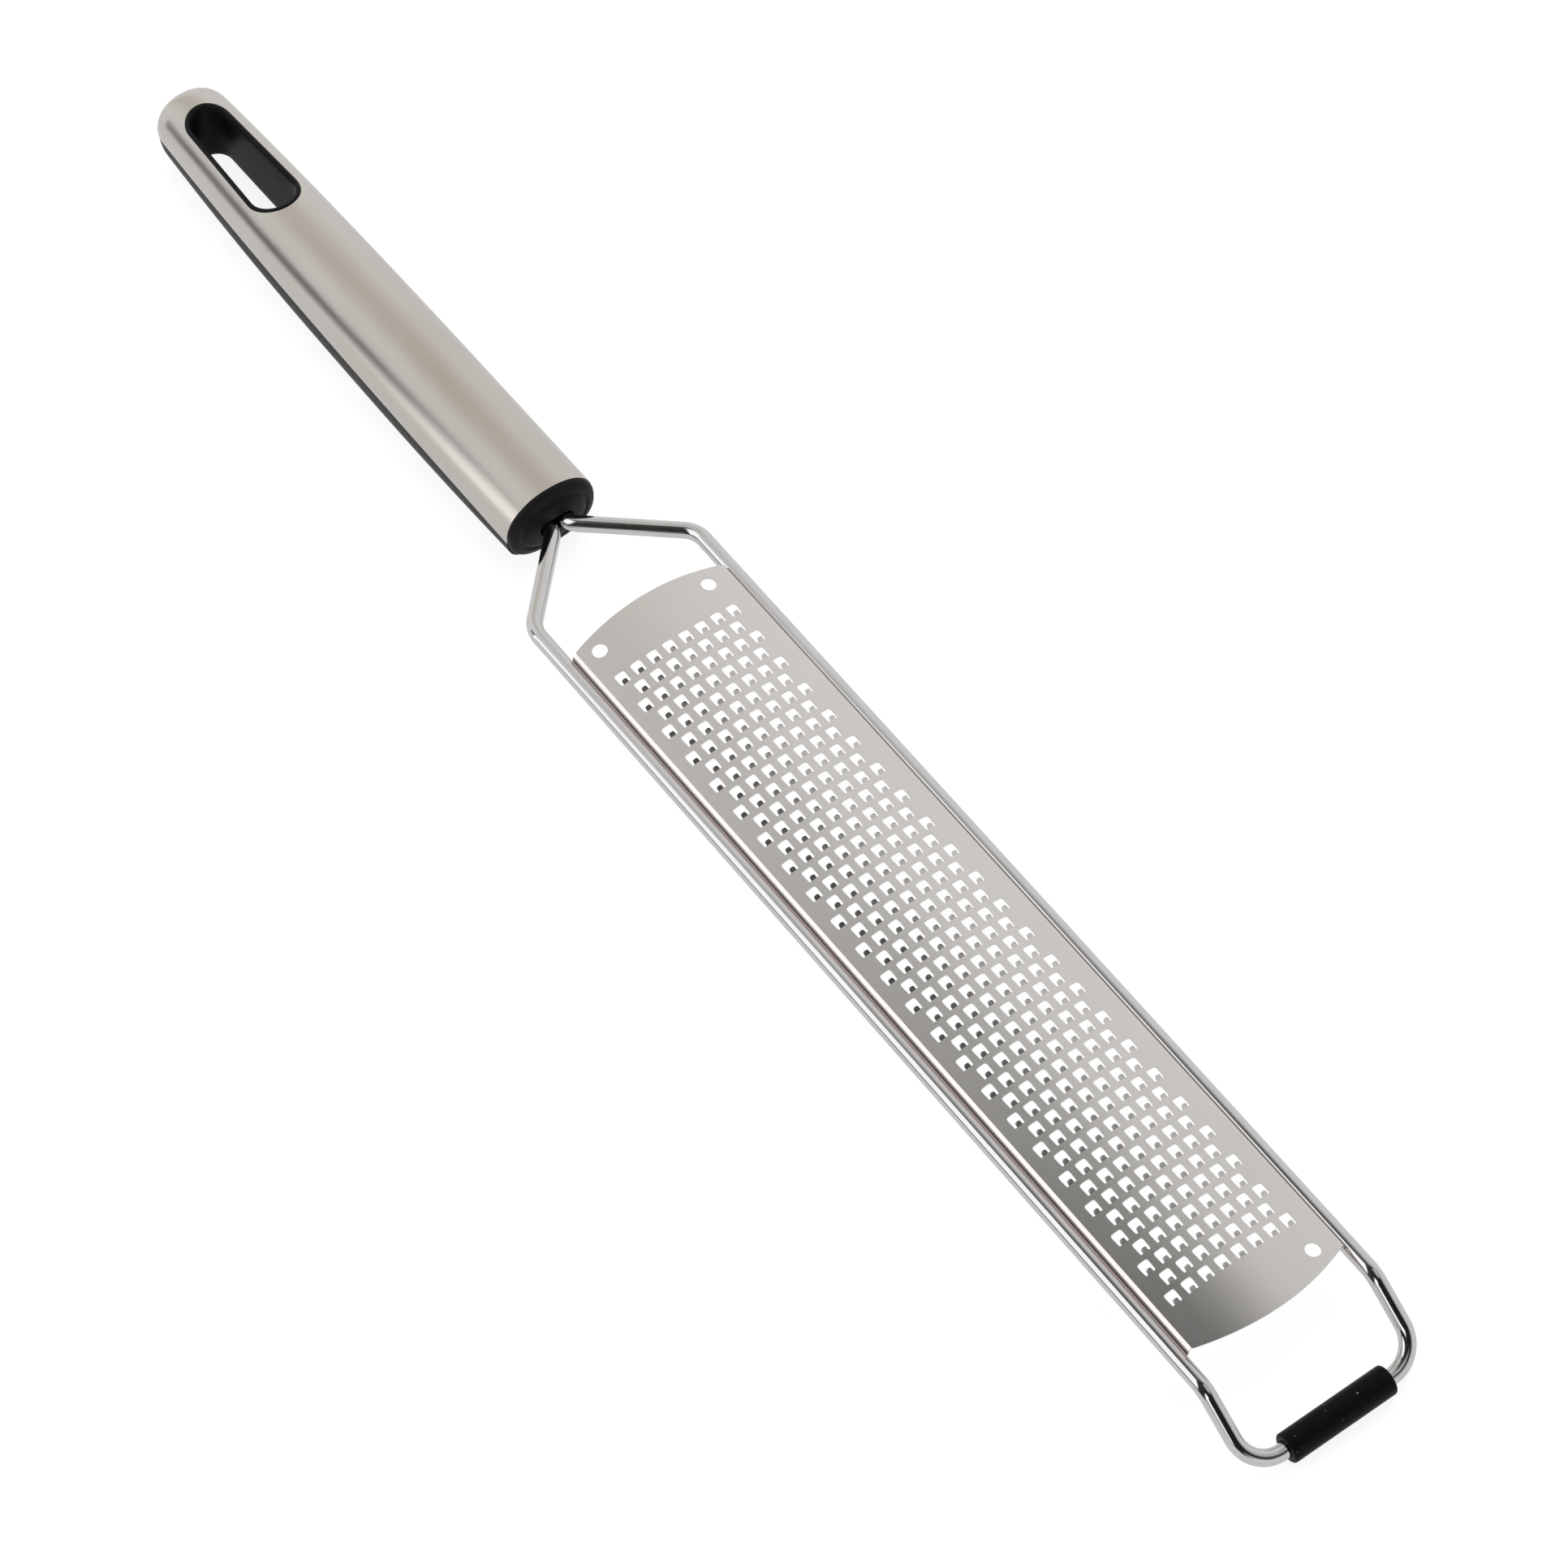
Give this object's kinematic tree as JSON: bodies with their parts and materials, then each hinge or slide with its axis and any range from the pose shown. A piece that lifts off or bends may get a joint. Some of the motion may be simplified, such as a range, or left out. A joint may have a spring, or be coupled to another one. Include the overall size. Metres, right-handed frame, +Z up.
{
  "type": "zest grater",
  "caption": "Long narrow kitchen grater: a crowned etched steel plate of raised teeth in a bent wire frame, with a rubber foot bar and a steel-shelled handle with a hanging slot.",
  "frame": {"origin": "on the table under the middle of the tool", "axes": "+X from the handle to the foot, +Y to the left, +Z up from the table"},
  "size_m": [0.3666, 0.0414, 0.0183],
  "materials": {
    "etched_steel": "smooth cold-rolled sheet with a soft shine, bright cut edges",
    "polished_steel": "polished wire",
    "satin_steel": "satin with a fine grain along the handle",
    "black_plastic": "moulded satin black",
    "black_rubber": "smooth matt rubber"
  },
  "bodies": {
    "root": {"grater_plate": "etched_steel", "frame_wire": "polished_steel", "foot_sleeve": "black_rubber", "handle_shell": "satin_steel", "handle_base": "black_plastic", "front_plug": "black_plastic", "hang_slot_liner": "black_plastic"}
  },
  "joints": []
}
